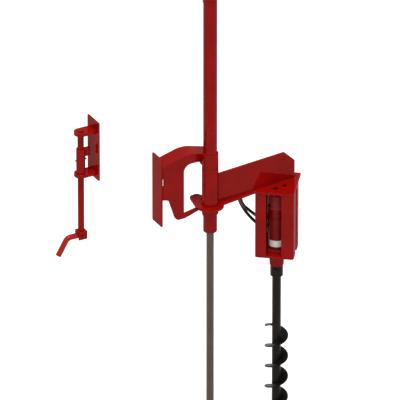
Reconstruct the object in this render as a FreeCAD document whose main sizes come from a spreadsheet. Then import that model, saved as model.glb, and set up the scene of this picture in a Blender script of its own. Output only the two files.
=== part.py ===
"""Pilot auger: a swing arm with a hydraulic auger drive beside a feed cylinder, and its latch.

Frame: millimetres, +Z up. The origin is the centre of the mast plate's mounting face, the
face looks along -X, and the feed cylinder stands upright beyond it.
"""

import FreeCAD
import Part

import math
import os

from FreeCAD import Placement, Rotation, Vector

os.makedirs("parts", exist_ok=True)

# Driving dimensions

SIZES = {
    "mast_plate_width": 96.0,
    "mast_plate_height": 380.0,
    "mast_plate_thickness": 10.0,
    "axis_reach": 262.0,
    "web_offset": 30.0,
    "yoke_web_thickness": 12.0,
    "yoke_flange_thickness": 10.0,
    "yoke_flange_width": 96.0,
    "flange_overrun": 30.0,
    "arch_crown_reach": 55.0,
    "arch_crown_rise": 5.0,
    "arch_slope": 15.5,
    "arch_radius": 160.0,
    "yoke_throat": 120.0,
    "throat_top": 239.0,
    "throat_radius": 42.0,
    "throat_inset": 8.0,
    "throat_foot_radius": 5.0,
    "yoke_shoulder": 70.0,
    "lobe_drop": 15.0,
    "lobe_radius": 28.0,
    "lobe_front": 7.0,
    "lobe_middle": 45.0,
    "lobe_rear": 85.0,
    "lobe_tilt": 2.0,
    "shoulder_dip": 9.0,
    "limb_rise": 18.0,
    "limb_gap": 3.0,
    "limb_inset": 14.0,
    "limb_bend_radius": 20.0,
    "web_lap": 4.0,
    "cope_margin": 20.0,
    "relief_depth": 8.0,
    "relief_bottom": 145.0,
    "relief_top": 190.0,
    "relief_radius": 4.0,
    "base_level": -111.0,
    "barrel_diameter": 70.0,
    "barrel_bore": 57.0,
    "barrel_below_base": 150.0,
    "barrel_length": 1310.0,
    "cap_thickness": 18.0,
    "cap_rim": 3.0,
    "gland_length": 46.0,
    "rod_diameter": 38.0,
    "rod_exposed": 1000.0,
    "piston_length": 44.0,
    "piston_stop": 10.0,
    "seal_width": 6.0,
    "seal_depth": 3.5,
    "rod_eye_width": 40.0,
    "rod_eye_radius": 32.0,
    "rod_eye_bore": 25.4,
    "port_radius": 13.0,
    "port_length": 24.0,
    "port_bore": 11.0,
    "lower_port_rise": 65.0,
    "upper_port_drop": 40.0,
    "knuckle_diameter": 84.0,
    "upper_knuckle_height": 78.0,
    "lower_knuckle_height": 34.0,
    "upper_knuckle_top": 293.0,
    "washer_thickness": 3.0,
    "bush_wall": 3.0,
    "bush_length": 40.0,
    "bush_inset": 4.0,
    "nipple_radius": 4.0,
    "nipple_length": 9.0,
    "nipple_rise": 30.0,
    "nipple_angle": 150.0,
    "running_clearance": 0.05,
    "seat_clearance": 0.05,
    "side_clearance": 0.5,
    "arm_plate_thickness": 12.0,
    "arm_disc_radius": 70.0,
    "arm_hole_clearance": 1.5,
    "arm_notch_depth": 2.0,
    "arm_neck_radius": 12.0,
    "arm_corner_radius": 4.0,
    "arm_rear_radius": 20.0,
    "arm_web_thickness": 12.0,
    "arm_web_height": 161.0,
    "arm_web_reach": 511.0,
    "arm_web_clip": 61.0,
    "arm_web_angle": 5.9,
    "lock_lug_reach": 133.0,
    "lock_lug_half": 26.0,
    "lock_lug_tip_radius": 20.8,
    "lug_root_reach": 91.0,
    "lug_root_half": 29.9,
    "lug_root_radius": 20.0,
    "lock_lug_angle": 101.5,
    "lock_hole_radius": 8.0,
    "lock_hole_reach": 117.0,
    "auger_reach": 391.4,
    "auger_bearing": 2.57,
    "cage_turn": -37.4,
    "cage_width": 198.0,
    "cage_depth": 173.0,
    "cage_height": 363.0,
    "cage_wall": 8.0,
    "cage_flange": 66.0,
    "cage_bend_radius": 12.0,
    "window_width": 78.0,
    "window_sill": 12.0,
    "window_shift": -3.0,
    "window_drop": 0.0,
    "top_overhang": 64.0,
    "bottom_plate_thickness": 12.0,
    "motor_radius": 49.0,
    "motor_top_gap": 28.0,
    "stay_ring": 38.0,
    "end_cover_round": 8.0,
    "end_cover_height": 80.0,
    "gear_ring_height": 44.0,
    "gear_ring_rim": 2.0,
    "housing_step": 4.0,
    "shaft_room": 10.0,
    "motor_flange_width": 118.0,
    "motor_flange_thickness": 16.0,
    "flange_corner_radius": 18.0,
    "flange_bolt_inset": 13.0,
    "motor_shaft_radius": 16.0,
    "shaft_in_motor": 50.0,
    "shaft_in_coupling": 40.0,
    "hub_top_radius": 39.0,
    "hub_bottom_radius": 36.0,
    "hub_height": 75.0,
    "bearing_height": 18.0,
    "bearing_outer_radius": 26.0,
    "bearing_inset": 3.0,
    "coupling_radius": 32.5,
    "coupling_height": 66.0,
    "coupling_taper": 6.0,
    "coupling_lip": 2.0,
    "coupling_gap": 1.0,
    "coupling_bolt_drop": 24.0,
    "shaft_radius": 22.5,
    "shaft_length": 833.0,
    "flight_radius": 60.0,
    "flight_pitch": 117.6,
    "flight_thickness": 7.0,
    "flight_start": 279.0,
    "flight_tail": 14.0,
    "flight_top_angle": 172.5,
    "point_length": 62.0,
    "point_tip_radius": 2.5,
    "point_collar_rise": 8.0,
    "tooth_rake": 28.0,
    "tooth_thickness": 9.0,
    "tooth_length": 52.0,
    "tooth_drop": 5.0,
    "bolt_radius": 6.0,
    "bolt_head_radius": 9.5,
    "bolt_head_height": 7.5,
    "nut_height": 7.0,
    "bolt_tail": 3.0,
    "hose_radius": 8.0,
    "hose_spacing": 24.0,
    "hose_drop": 36.0,
    "hose_bracket_reach": 203.0,
    "hose_bracket_side": 66.0,
    "hose_bracket_width": 40.0,
    "hose_bracket_thickness": 14.0,
    "union_height": 22.0,
    "union_radius": 11.9,
    "fitting_wall": 3.0,
    "fitting_overrun": 6.0,
    "ferrule_length": 32.0,
    "elbow_radius": 13.0,
    "supply_port_drop": 94.0,
    "return_port_drop": 48.0,
    "latch_plate_width": 115.0,
    "latch_plate_height": 323.0,
    "latch_plate_thickness": 10.0,
    "latch_gap": 349.0,
    "latch_rise": 330.0,
    "latch_standoff": 68.0,
    "latch_lug_radius": 34.0,
    "latch_lug_thickness": 18.0,
    "upper_lug_drop": 50.0,
    "lower_lug_rise": 21.5,
    "latch_rod_radius": 16.0,
    "latch_rod_drop": 308.0,
    "latch_rod_proud": 5.0,
    "latch_sleeve_radius": 23.0,
    "latch_sleeve_height": 134.0,
    "latch_finger_length": 26.0,
    "latch_finger_height": 46.0,
    "latch_finger_thickness": 14.0,
    "latch_finger_root": 6.0,
    "latch_pin_radius": 4.0,
    "latch_pin_length": 62.0,
    "latch_pin_rise": 90.0,
    "cut_margin": 2.0,
    "handle_radius": 14.5,
    "handle_first": 78.0,
    "handle_grip": 102.0,
    "handle_drop_angle": 59.3,
    "handle_bend_radius": 30.0,
    "clevis_width": 46.0,
    "clevis_height": 44.0,
    "clevis_roof": 11.0,
    "clevis_slot_clearance": 0.2,
    "handle_rise": 2.0,
    "handle_end_inset": 3.0,
}

doc = FreeCAD.newDocument("pilot_auger")
sheet = doc.addObject("Spreadsheet::Sheet", "sizes")
for row, (alias, value) in enumerate(SIZES.items(), start=1):
    sheet.set("A%d" % row, alias)
    sheet.set("B%d" % row, str(value))
    sheet.setAlias("B%d" % row, alias)
doc.recompute()

PARTS = []


def size(name):
    """Return one driving dimension from the sheet."""
    return float(sheet.get(name))


def bind(obj, **rules):
    """Bind properties of an object to expressions over the sheet's values."""
    for prop, rule in rules.items():
        words = rule.split()
        bound = ["sizes." + word if word in SIZES else word for word in words]
        obj.setExpression(prop, " ".join(bound))


def finish(obj, label, place=None):
    """Give a sub-part its name and place, and keep it for export."""
    obj.Label = label
    if place is not None:
        obj.Placement = place
    PARTS.append(obj)
    return obj


def box(name, length, width, height, place):
    """Make a bound box whose corner is at the placement."""
    made = doc.addObject("Part::Box", name)
    bind(made, Length=length, Width=width, Height=height)
    made.Placement = place
    return made


def cylinder(name, radius, height, place):
    """Make a bound cylinder that stands on the placement."""
    made = doc.addObject("Part::Cylinder", name)
    bind(made, Radius=radius, Height=height)
    made.Placement = place
    return made


def cone(name, lower, upper, height, place):
    """Make a bound cone that stands on the placement."""
    made = doc.addObject("Part::Cone", name)
    bind(made, Radius1=lower, Radius2=upper, Height=height)
    made.Placement = place
    return made


def cut(name, base, *tools):
    """Cut each tool from the base."""
    result = base
    for number, tool in enumerate(tools):
        made = doc.addObject("Part::Cut", "%s_cut%d" % (name, number))
        made.Base = result
        made.Tool = tool
        result = made
    return result


def fuse(name, *shapes):
    """Join shapes that touch or overlap into one solid."""
    made = doc.addObject("Part::MultiFuse", name + "_fuse")
    made.Shapes = list(shapes)
    made.Refine = True
    return made


def group(name, *shapes):
    """Keep separate solids together in one named sub-part."""
    made = doc.addObject("Part::Compound", name + "_group")
    made.Links = list(shapes)
    return made


def tube(name, outer, inner, height, place):
    """Make a bound tube that stands on the placement."""
    return cut(
        name,
        cylinder(name + "_outer", outer, height, place),
        cylinder(name + "_inner", inner, height, place),
    )


def rounded(corners):
    """Turn corners (x, y, radius) into the lines and arcs of a closed outline."""
    points = [Vector(x, y, 0) for x, y, _ in corners]
    spans = []
    for number, (corner, (_, _, radius)) in enumerate(zip(points, corners)):
        before = points[number - 1] - corner
        after = points[(number + 1) % len(points)] - corner
        before.normalize()
        after.normalize()
        if radius <= 0:
            spans.append((corner, None, corner))
            continue
        half = before.getAngle(after) / 2
        back = radius / math.tan(half)
        middle = before + after
        middle.normalize()
        centre = corner + middle * (radius / math.sin(half))
        spans.append((corner + before * back, centre - middle * radius, corner + after * back))
    edges = []
    for number, (start, middle, end) in enumerate(spans):
        if middle is not None:
            edges.append(Part.Arc(start, middle, end))
        following = spans[(number + 1) % len(spans)][0]
        if (following - end).Length > 1e-6:
            edges.append(Part.LineSegment(end, following))
    return edges


def plate(name, corners, thickness, place, holes=()):
    """Pad a rounded outline with round holes (x, y, radius) in a body of its own."""
    body = doc.addObject("PartDesign::Body", name)
    sketch = body.newObject("Sketcher::SketchObject", name + "_outline")
    flat = next(plane for plane in body.Origin.OriginFeatures if plane.Role == "XY_Plane")
    sketch.AttachmentSupport = (flat, [""])
    sketch.MapMode = "FlatFace"
    for edge in rounded(corners):
        sketch.addGeometry(edge, False)
    for x, y, radius in holes:
        sketch.addGeometry(Part.Circle(Vector(x, y, 0), Vector(0, 0, 1), radius), False)
    pad = body.newObject("PartDesign::Pad", name + "_pad")
    pad.Profile = sketch
    bind(pad, Length=thickness)
    body.Placement = place
    return body


def route(points, radii):
    """Return a wire of straight runs joined by tangent arcs at the inner points."""
    edges = []
    start = points[0]
    for number, radius in enumerate(radii, start=1):
        corner = points[number]
        before = points[number - 1] - corner
        after = points[number + 1] - corner
        before.normalize()
        after.normalize()
        half = before.getAngle(after) / 2
        back = radius / math.tan(half)
        middle = before + after
        middle.normalize()
        apex = corner + middle * (radius / math.sin(half) - radius)
        edges.append(Part.LineSegment(start, corner + before * back).toShape())
        edges.append(Part.Arc(corner + before * back, apex, corner + after * back).toShape())
        start = corner + after * back
    edges.append(Part.LineSegment(start, points[-1]).toShape())
    return Part.Wire(edges)


def swept(path, radius):
    """Sweep a round section along a wire."""
    first = path.Edges[0]
    start = first.valueAt(first.FirstParameter)
    section = Part.Wire(Part.makeCircle(radius, start, first.tangentAt(first.FirstParameter)))
    return path.makePipeShell([section], True, False)


def shaped(name, shape):
    """Hold a ready shape in the document."""
    made = doc.addObject("Part::Feature", name)
    made.Shape = shape
    return made


def at(x, y, z, turn=None):
    """Return a placement from a point and an optional rotation."""
    return Placement(Vector(x, y, z), turn or Rotation())


# Places worked out from the driving dimensions

AXIS_X = size("axis_reach")
AXIS_Y = -size("web_offset") - size("mast_plate_width") / 2
BASE_Z = size("base_level")
UPRIGHT = Rotation(Vector(1, 0, 0), 90)
ALONG_X = Rotation(Vector(0, 1, 0), 90)
ALONG_Y = Rotation(Vector(1, 0, 0), -90)


def by_axis(x, y, z, turn=None):
    """Return a placement measured from the cylinder's axis at the arm's base."""
    return at(AXIS_X + x, AXIS_Y + y, BASE_Z + z, turn)


bearing = math.radians(size("auger_bearing"))
DRIVE = Vector(
    AXIS_X + size("auger_reach") * math.cos(bearing),
    AXIS_Y + size("auger_reach") * math.sin(bearing),
    BASE_Z,
)
CAGE_TURN = Rotation(Vector(0, 0, 1), size("cage_turn"))
UNDER_PLATE = -size("arm_plate_thickness")
CAGE_BOTTOM = UNDER_PLATE - size("cage_height")


def by_drive(x, y, z, turn=None):
    """Return a placement in the cage's own directions, measured from the auger's axis."""
    frame = Placement(DRIVE, CAGE_TURN)
    return frame.multiply(Placement(Vector(x, y, z), turn or Rotation()))


# Where each hose turns in to the cage's side, measured from the side at its port's level

SUPPLY_ENTRY = Vector(-37, -9, 66)
RETURN_ENTRY = Vector(-37, -21, 66)


def mast_plate():
    """Flat bar that is welded or clamped to the machine's mast."""
    bar = box(
        "mast_bar",
        "mast_plate_thickness",
        "mast_plate_width",
        "mast_plate_height",
        at(0, -size("mast_plate_width") / 2, -size("mast_plate_height") / 2),
    )
    finish(bar, "mast_plate")


def arch_outline(top_drop, end):
    """Return the arched top edge, lowered by top_drop, from the mast plate to its end."""
    start = size("mast_plate_thickness") - AXIS_X
    crown = -size("knuckle_diameter") / 2 - size("arch_crown_reach")
    top = size("upper_knuckle_top") + size("arch_crown_rise") - top_drop
    rise = math.tan(math.radians(size("arch_slope")))
    return [
        (start, top - (crown - start) * rise, 0),
        (crown, top, size("arch_radius") - top_drop),
        (end, top - (end - crown) * rise, 0),
    ]


def yoke():
    """C-shaped web and its arched top flange, from the mast plate to both knuckles."""
    flange = size("yoke_flange_thickness")
    start = size("mast_plate_thickness") - AXIS_X
    side = size("throat_inset") - size("knuckle_diameter") / 2
    throat = start + size("yoke_throat")
    lobe = size("lobe_radius")
    shoulder = size("yoke_shoulder")
    relief = start + size("relief_depth")
    roof = size("throat_top")
    seam = size("knuckle_diameter") / 2
    ring_top = UNDER_PLATE - size("washer_thickness")
    ring_foot = ring_top - size("lower_knuckle_height")
    limb_top = ring_top - size("limb_gap")
    limb_bottom = ring_foot + size("limb_inset")
    lobe_foot = ring_foot - size("lobe_drop")
    knuckle_floor = size("upper_knuckle_top") - size("upper_knuckle_height") + size("web_lap")
    bend = size("relief_radius")
    corners = arch_outline(flange, 0) + [
        (0, knuckle_floor, 0),
        (side, knuckle_floor, bend / 2),
        (side, roof, size("throat_radius") / 2),
        (throat, roof, size("throat_radius")),
        (throat, limb_top - size("limb_rise"), size("throat_foot_radius")),
        (-seam, limb_top, 0),
        (0, limb_top, 0),
        (0, limb_bottom, 0),
        (-seam, limb_bottom, size("limb_bend_radius")),
        (throat + size("lobe_front"), lobe_foot + size("lobe_tilt"), lobe),
        (throat - size("lobe_middle"), lobe_foot, lobe),
        (throat - size("lobe_rear"), shoulder - size("shoulder_dip"), lobe),
        (start, shoulder, 0),
        (start, size("relief_bottom"), 0),
        (relief, size("relief_bottom"), bend),
        (relief, size("relief_top"), bend),
        (start, size("relief_top"), 0),
    ]
    place = by_axis(0, size("web_offset") + size("yoke_web_thickness"), 0, UPRIGHT)
    floor = by_axis(0, 0, limb_bottom - size("cope_margin"))
    height = "upper_knuckle_top + arm_plate_thickness + lower_knuckle_height + cope_margin * 3"
    cope = cylinder("web_cope", "knuckle_diameter / 2 + seat_clearance", height, floor)
    web = plate("yoke_web_body", corners, "yoke_web_thickness", place)
    finish(cut("coped_web", web, cope), "yoke_web")

    under = arch_outline(flange, size("flange_overrun"))
    over = arch_outline(0, size("flange_overrun"))
    corners = over + list(reversed(under))
    place = by_axis(0, size("web_offset") + size("yoke_flange_width"), 0, UPRIGHT)
    cope = cylinder("flange_cope", "knuckle_diameter / 2 + seat_clearance", height, floor)
    top = plate("yoke_flange_body", corners, "yoke_flange_width", place)
    finish(cut("coped_flange", top, cope), "yoke_flange")


def knuckles():
    """Rings on the barrel above and below the swinging sleeve, and their thrust washers."""
    inner = "barrel_diameter / 2 + seat_clearance"
    upper = size("upper_knuckle_top") - size("upper_knuckle_height")
    lower = UNDER_PLATE - size("washer_thickness") - size("lower_knuckle_height")
    outer = "knuckle_diameter / 2"
    ring = tube("upper_ring", outer, inner, "upper_knuckle_height", by_axis(0, 0, upper))
    finish(ring, "upper_knuckle")
    ring = tube("lower_ring", outer, inner, "lower_knuckle_height", by_axis(0, 0, lower))
    finish(ring, "lower_knuckle")
    washer_bore = "barrel_diameter / 2 + side_clearance"
    recessed = "knuckle_diameter / 2 - washer_thickness"
    low = UNDER_PLATE - size("washer_thickness")
    high = upper - size("washer_thickness")
    rings = [
        tube("washer_low", recessed, washer_bore, "washer_thickness", by_axis(0, 0, low)),
        tube("washer_high", recessed, washer_bore, "washer_thickness", by_axis(0, 0, high)),
    ]
    finish(group("washers", *rings), "thrust_washers")


def feed_cylinder():
    """Barrel, end cap, rod gland and ports of the feed cylinder."""
    foot = -size("barrel_below_base")
    top = foot + size("barrel_length")
    barrel = tube(
        "barrel", "barrel_diameter / 2", "barrel_bore / 2", "barrel_length", by_axis(0, 0, foot)
    )
    finish(barrel, "feed_barrel")
    cap = fuse(
        "cap",
        cylinder("cap_disc", "barrel_diameter / 2 + cap_rim", "cap_thickness", by_axis(0, 0, top)),
        cylinder(
            "cap_spigot",
            "barrel_bore / 2 - seat_clearance",
            "cap_thickness",
            by_axis(0, 0, top - size("cap_thickness")),
        ),
    )
    finish(cap, "barrel_cap")
    gland = tube(
        "gland",
        "barrel_bore / 2 - seat_clearance",
        "rod_diameter / 2 + running_clearance",
        "gland_length",
        by_axis(0, 0, foot),
    )
    finish(gland, "rod_gland")
    out = size("barrel_diameter") / 2
    ports = []
    levels = (foot + size("lower_port_rise"), top - size("upper_port_drop"))
    for number, level in enumerate(levels):
        place = by_axis(0, out, level, ALONG_Y)
        boss = tube("port%d" % number, "port_radius", "port_bore", "port_length", place)
        ports.append(boss)
    finish(group("ports", *ports), "barrel_ports")


def feed_rod():
    """Rod, piston with its seal, and the eye at the rod's foot."""
    foot = -size("barrel_below_base") - size("rod_exposed")
    piston_foot = size("gland_length") - size("barrel_below_base") + size("piston_stop")
    top = piston_foot + size("piston_length")
    rule = "rod_exposed + gland_length + piston_length + piston_stop"
    rod = cylinder("rod", "rod_diameter / 2", rule, by_axis(0, 0, foot))
    finish(rod, "feed_rod")
    blank = tube(
        "piston",
        "barrel_bore / 2 - running_clearance",
        "rod_diameter / 2 + seat_clearance",
        "piston_length",
        by_axis(0, 0, piston_foot),
    )
    middle = (piston_foot + top - size("seal_width")) / 2
    groove = tube(
        "groove",
        "barrel_bore / 2 + cut_margin",
        "barrel_bore / 2 - seal_depth",
        "seal_width",
        by_axis(0, 0, middle),
    )
    finish(cut("piston_grooved", blank, groove), "piston")
    seal = tube(
        "seal",
        "barrel_bore / 2 - running_clearance / 2",
        "barrel_bore / 2 - seal_depth + seat_clearance",
        "seal_width",
        by_axis(0, 0, middle),
    )
    finish(seal, "piston_seal")
    width = size("rod_eye_width")
    radius = size("rod_eye_radius")
    across = by_axis(0, -width / 2, foot - radius, ALONG_Y)
    ring = cylinder("eye_ring", "rod_eye_radius", "rod_eye_width", across)
    neck = box(
        "eye_neck",
        "rod_eye_width",
        "rod_eye_width",
        "rod_eye_radius",
        by_axis(-width / 2, -width / 2, foot - radius),
    )
    bore = cylinder("eye_bore", "rod_eye_bore / 2", "rod_eye_width", across)
    finish(cut("eye", fuse("eye", ring, neck), bore), "rod_eye")


def swing_sleeve():
    """Arm's tube round the barrel, its bushes and its grease fitting."""
    ceiling = size("upper_knuckle_top") - size("upper_knuckle_height") - size("washer_thickness")
    height = ceiling - size("side_clearance")
    outer = "knuckle_diameter / 2"
    inner = "barrel_diameter / 2 + running_clearance + bush_wall + seat_clearance"
    rule = "upper_knuckle_top - upper_knuckle_height - washer_thickness - side_clearance"
    sleeve = tube("sleeve", outer, inner, rule, by_axis(0, 0, 0))
    finish(sleeve, "swing_sleeve")
    bushes = []
    inset = size("bush_inset")
    for number, level in enumerate((inset, height - inset - size("bush_length"))):
        bush = tube(
            "bush%d" % number,
            "barrel_diameter / 2 + running_clearance + bush_wall",
            "barrel_diameter / 2 + running_clearance",
            "bush_length",
            by_axis(0, 0, level),
        )
        bushes.append(bush)
    finish(group("bushes", *bushes), "sleeve_bushes")
    turn = Rotation(Vector(0, 0, 1), size("nipple_angle"))
    start = turn.multVec(Vector(size("knuckle_diameter") / 2, 0, 0))
    place = by_axis(start.x, start.y, size("nipple_rise"), turn.multiply(ALONG_X))
    stem = cylinder("nipple_stem", "nipple_radius", "nipple_length", place)
    finish(stem, "grease_nipple")


def arm_plate_outline():
    """Return the base plate's corners about the cylinder's axis, with the lug and top plate."""
    lug_turn = math.radians(size("lock_lug_angle"))
    lug = size("lock_lug_reach")
    half = size("lock_lug_half")
    along = Vector(math.cos(lug_turn), math.sin(lug_turn), 0)
    across = Vector(-along.y, along.x, 0)
    frame = Placement(DRIVE - Vector(AXIS_X, AXIS_Y, BASE_Z), CAGE_TURN)
    front = -size("cage_depth") / 2
    back = size("cage_depth") / 2 + size("top_overhang")
    side = size("cage_width") / 2
    disc = size("arm_disc_radius")
    corners = []
    for x, y, radius in (
        (-side, front, size("arm_neck_radius")),
        (side, front, size("arm_corner_radius")),
        (side, back, size("arm_corner_radius")),
        (-side, back, size("arm_rear_radius")),
    ):
        point = frame.multVec(Vector(x, y, 0))
        corners.append((point.x, point.y, radius))
    for along_part, across_part, radius in (
        (size("lug_root_reach"), -size("lug_root_half"), size("lug_root_radius")),
        (lug, -half, size("lock_lug_tip_radius")),
        (lug, half, size("lock_lug_tip_radius")),
    ):
        point = along * along_part + across * across_part
        corners.append((point.x, point.y, radius))
    eighth = math.radians(45)
    for number in (4, 5, 6, 7):
        turn = number * eighth
        reach = disc / math.cos(eighth / 2)
        corners.append((reach * math.cos(turn), reach * math.sin(turn), disc))
    end = 7.5 * eighth
    notch = size("arm_notch_depth")
    x = disc * math.cos(end) + notch * math.sin(eighth / 2)
    y = disc * math.sin(end) + notch * math.cos(eighth / 2)
    corners.append((x, y, 0))
    return corners


def swing_arm():
    """Base plate with lock lug and cage top in one, and the upright web that stiffens it."""
    turn = math.radians(size("lock_lug_angle"))
    reach = size("lock_hole_reach")
    holes = [
        (0, 0, size("barrel_diameter") / 2 + size("arm_hole_clearance")),
        (reach * math.cos(turn), reach * math.sin(turn), size("lock_hole_radius")),
    ]
    frame = Placement(DRIVE - Vector(AXIS_X, AXIS_Y, BASE_Z), CAGE_TURN)
    for x, y in cage_bolt_places():
        point = frame.multVec(Vector(x, y, 0))
        holes.append((point.x, point.y, size("bolt_radius") + size("side_clearance")))
    union = size("hose_radius") + size("fitting_wall") + size("seat_clearance")
    for side in (-0.5, 0.5):
        across = size("hose_bracket_side") + side * size("hose_spacing")
        holes.append((size("hose_bracket_reach"), across, union))
    place = by_axis(0, 0, UNDER_PLATE)
    base = plate("arm_plate_body", arm_plate_outline(), "arm_plate_thickness", place, holes)
    finish(base, "arm_plate")

    height = size("arm_web_height")
    reach = size("arm_web_reach")
    clip = size("arm_web_clip")
    start = size("knuckle_diameter") / 2
    corners = [
        (start, 0, 0),
        (reach, 0, 0),
        (reach, height - clip, 0),
        (reach - clip, height, 0),
        (start, height, 0),
    ]
    turn = Rotation(Vector(0, 0, 1), size("arm_web_angle"))
    offset = turn.multVec(Vector(0, size("arm_web_thickness") / 2, 0))
    place = by_axis(offset.x, offset.y, 0, turn.multiply(UPRIGHT))
    finish(plate("arm_web_body", corners, "arm_web_thickness", place), "arm_web")


def cage_bolt_places():
    """Return the places of the two bolts that tie the motor's cover to the arm's plate."""
    ring = size("stay_ring")
    return [(ring, 0), (0, -ring)]


def cage_side(name, label, facing):
    """One bent channel of the motor cage with its window; facing is -1 in front and 1 behind."""
    wall = size("cage_wall")
    half = size("cage_width") / 2
    face = size("cage_depth") / 2
    edge = face - size("cage_flange")
    bend = size("cage_bend_radius")
    corners = []
    for x, y, radius in (
        (-half, edge, 0),
        (-half, face, bend),
        (half, face, bend),
        (half, edge, 0),
        (half - wall, edge, 0),
        (half - wall, face - wall, bend - wall),
        (wall - half, face - wall, bend - wall),
        (wall - half, edge, 0),
    ):
        corners.append((x, facing * y, radius))
    channel = plate(name + "_body", corners, "cage_height", by_drive(0, 0, CAGE_BOTTOM))
    near = facing * (face - wall / 2) - wall
    window = box(
        name + "_window",
        "window_width",
        "cage_wall * 2",
        "cage_height - window_drop - window_sill",
        by_drive(
            size("window_shift") - size("window_width") / 2,
            near,
            CAGE_BOTTOM + size("window_sill"),
        ),
    )
    finish(cut(name, channel, window), label)


def motor_cage():
    """Two channels, the bottom plate between them and the bolts through the top plate."""
    cage_side("front_channel", "cage_front", -1)
    cage_side("rear_channel", "cage_rear", 1)
    wall = size("cage_wall")
    inner_x = size("cage_width") / 2 - wall
    inner_y = size("cage_depth") / 2 - wall
    hole = size("motor_shaft_radius") + size("side_clearance")
    corner = size("cage_bend_radius") - wall + size("side_clearance")
    corners = [
        (-inner_x, -inner_y, corner),
        (inner_x, -inner_y, corner),
        (inner_x, inner_y, corner),
        (-inner_x, inner_y, corner),
    ]
    bolt = size("motor_flange_width") / 2 - size("flange_bolt_inset")
    holes = [(0, 0, hole)]
    for x, y in ((bolt, bolt), (-bolt, bolt), (-bolt, -bolt), (bolt, -bolt)):
        holes.append((x, y, size("bolt_radius") + size("side_clearance")))
    floor = plate("cage_floor", corners, "bottom_plate_thickness", by_drive(0, 0, CAGE_BOTTOM), holes)
    finish(floor, "cage_bottom_plate")


def hexagon(name, radius, height, place, holes=()):
    """Hexagonal prism that stands on the placement; radius is the one of its corners."""
    corners = []
    for number in range(6):
        turn = math.radians(60 * number)
        corners.append((radius * math.cos(turn), radius * math.sin(turn), 0))
    return plate(name, corners, height, place, holes)


def hex_bolt(name, reach, place):
    """Hexagon bolt whose head stands on the placement and whose shank goes down by reach."""
    head = hexagon(name + "_head", size("bolt_head_radius"), "bolt_head_height", place)
    down = place.multiply(at(0, 0, -reach))
    shank = cylinder(name + "_shank", "bolt_radius", str(reach), down)
    return fuse(name, head, shank)


def bolt_and_nut(name, grip, place):
    """Hexagon bolt through a thickness, with a nut on its far side."""
    height = size("nut_height")
    bolt = hex_bolt(name, grip + height + size("bolt_tail"), place)
    hole = (0, 0, size("bolt_radius") + size("seat_clearance"))
    seat = place.multiply(at(0, 0, -grip - height))
    nut = hexagon(name + "_nut", size("bolt_head_radius"), "nut_height", seat, [hole])
    return [bolt, nut]


def motor():
    """Orbital motor: end cover, gear ring, housing, flange, its bolts and its port fittings."""
    top = UNDER_PLATE - size("motor_top_gap")
    cover = size("end_cover_height")
    ring = size("gear_ring_height")
    floor = CAGE_BOTTOM + size("bottom_plate_thickness")
    flange = size("motor_flange_thickness")
    place = by_drive(0, 0, top - cover)
    shape = cylinder("end_cover_drum", "motor_radius", "end_cover_height", place)
    rounded_cover = doc.addObject("Part::Fillet", "end_cover_round")
    rounded_cover.Base = shape
    doc.recompute()
    crest = [
        number
        for number, edge in enumerate(shape.Shape.Edges, start=1)
        if len(edge.Vertexes) == 1 and edge.CenterOfMass.z > BASE_Z + top - 1
    ]
    radius = size("end_cover_round")
    rounded_cover.Edges = [(crest[0], radius, radius)]
    finish(rounded_cover, "motor_end_cover")

    places = cage_bolt_places()
    stays = []
    for number, (x, y) in enumerate(places):
        reach = size("arm_plate_thickness") + size("motor_top_gap")
        stays.append(hex_bolt("stay%d" % number, reach, by_drive(x, y, 0)))
    finish(group("stays", *stays), "cage_top_bolts")

    place = by_drive(0, 0, top - cover - ring)
    gear = cylinder("gear_ring", "motor_radius + gear_ring_rim", "gear_ring_height", place)
    finish(gear, "motor_gear_ring")
    low = floor + flange
    height = top - cover - ring - low
    rule = "motor_radius - housing_step"
    house = cylinder("house_drum", rule, str(height), by_drive(0, 0, low))
    shaft_room = cylinder(
        "house_bore",
        "motor_shaft_radius + side_clearance",
        "shaft_in_motor + shaft_room",
        by_drive(0, 0, low),
    )
    finish(cut("house", house, shaft_room), "motor_housing")
    half = size("motor_flange_width") / 2
    bolt = half - size("flange_bolt_inset")
    corner = size("flange_corner_radius")
    corners = []
    for x, y in ((-half, -half), (half, -half), (half, half), (-half, half)):
        corners.append((x, y, corner))
    holes = [(0, 0, size("motor_shaft_radius") + size("side_clearance"))]
    spots = ((bolt, bolt), (-bolt, bolt), (-bolt, -bolt), (bolt, -bolt))
    for x, y in spots:
        holes.append((x, y, size("bolt_radius") + size("side_clearance")))
    body = plate("motor_flange_body", corners, "motor_flange_thickness", by_drive(0, 0, floor), holes)
    finish(body, "motor_flange")
    bolts = []
    grip = flange + size("bottom_plate_thickness")
    for number, (x, y) in enumerate(spots):
        bolts += bolt_and_nut("foot_bolt%d" % number, grip, by_drive(x, y, low))
    finish(group("foot_bolts", *bolts), "motor_flange_bolts")


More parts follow.
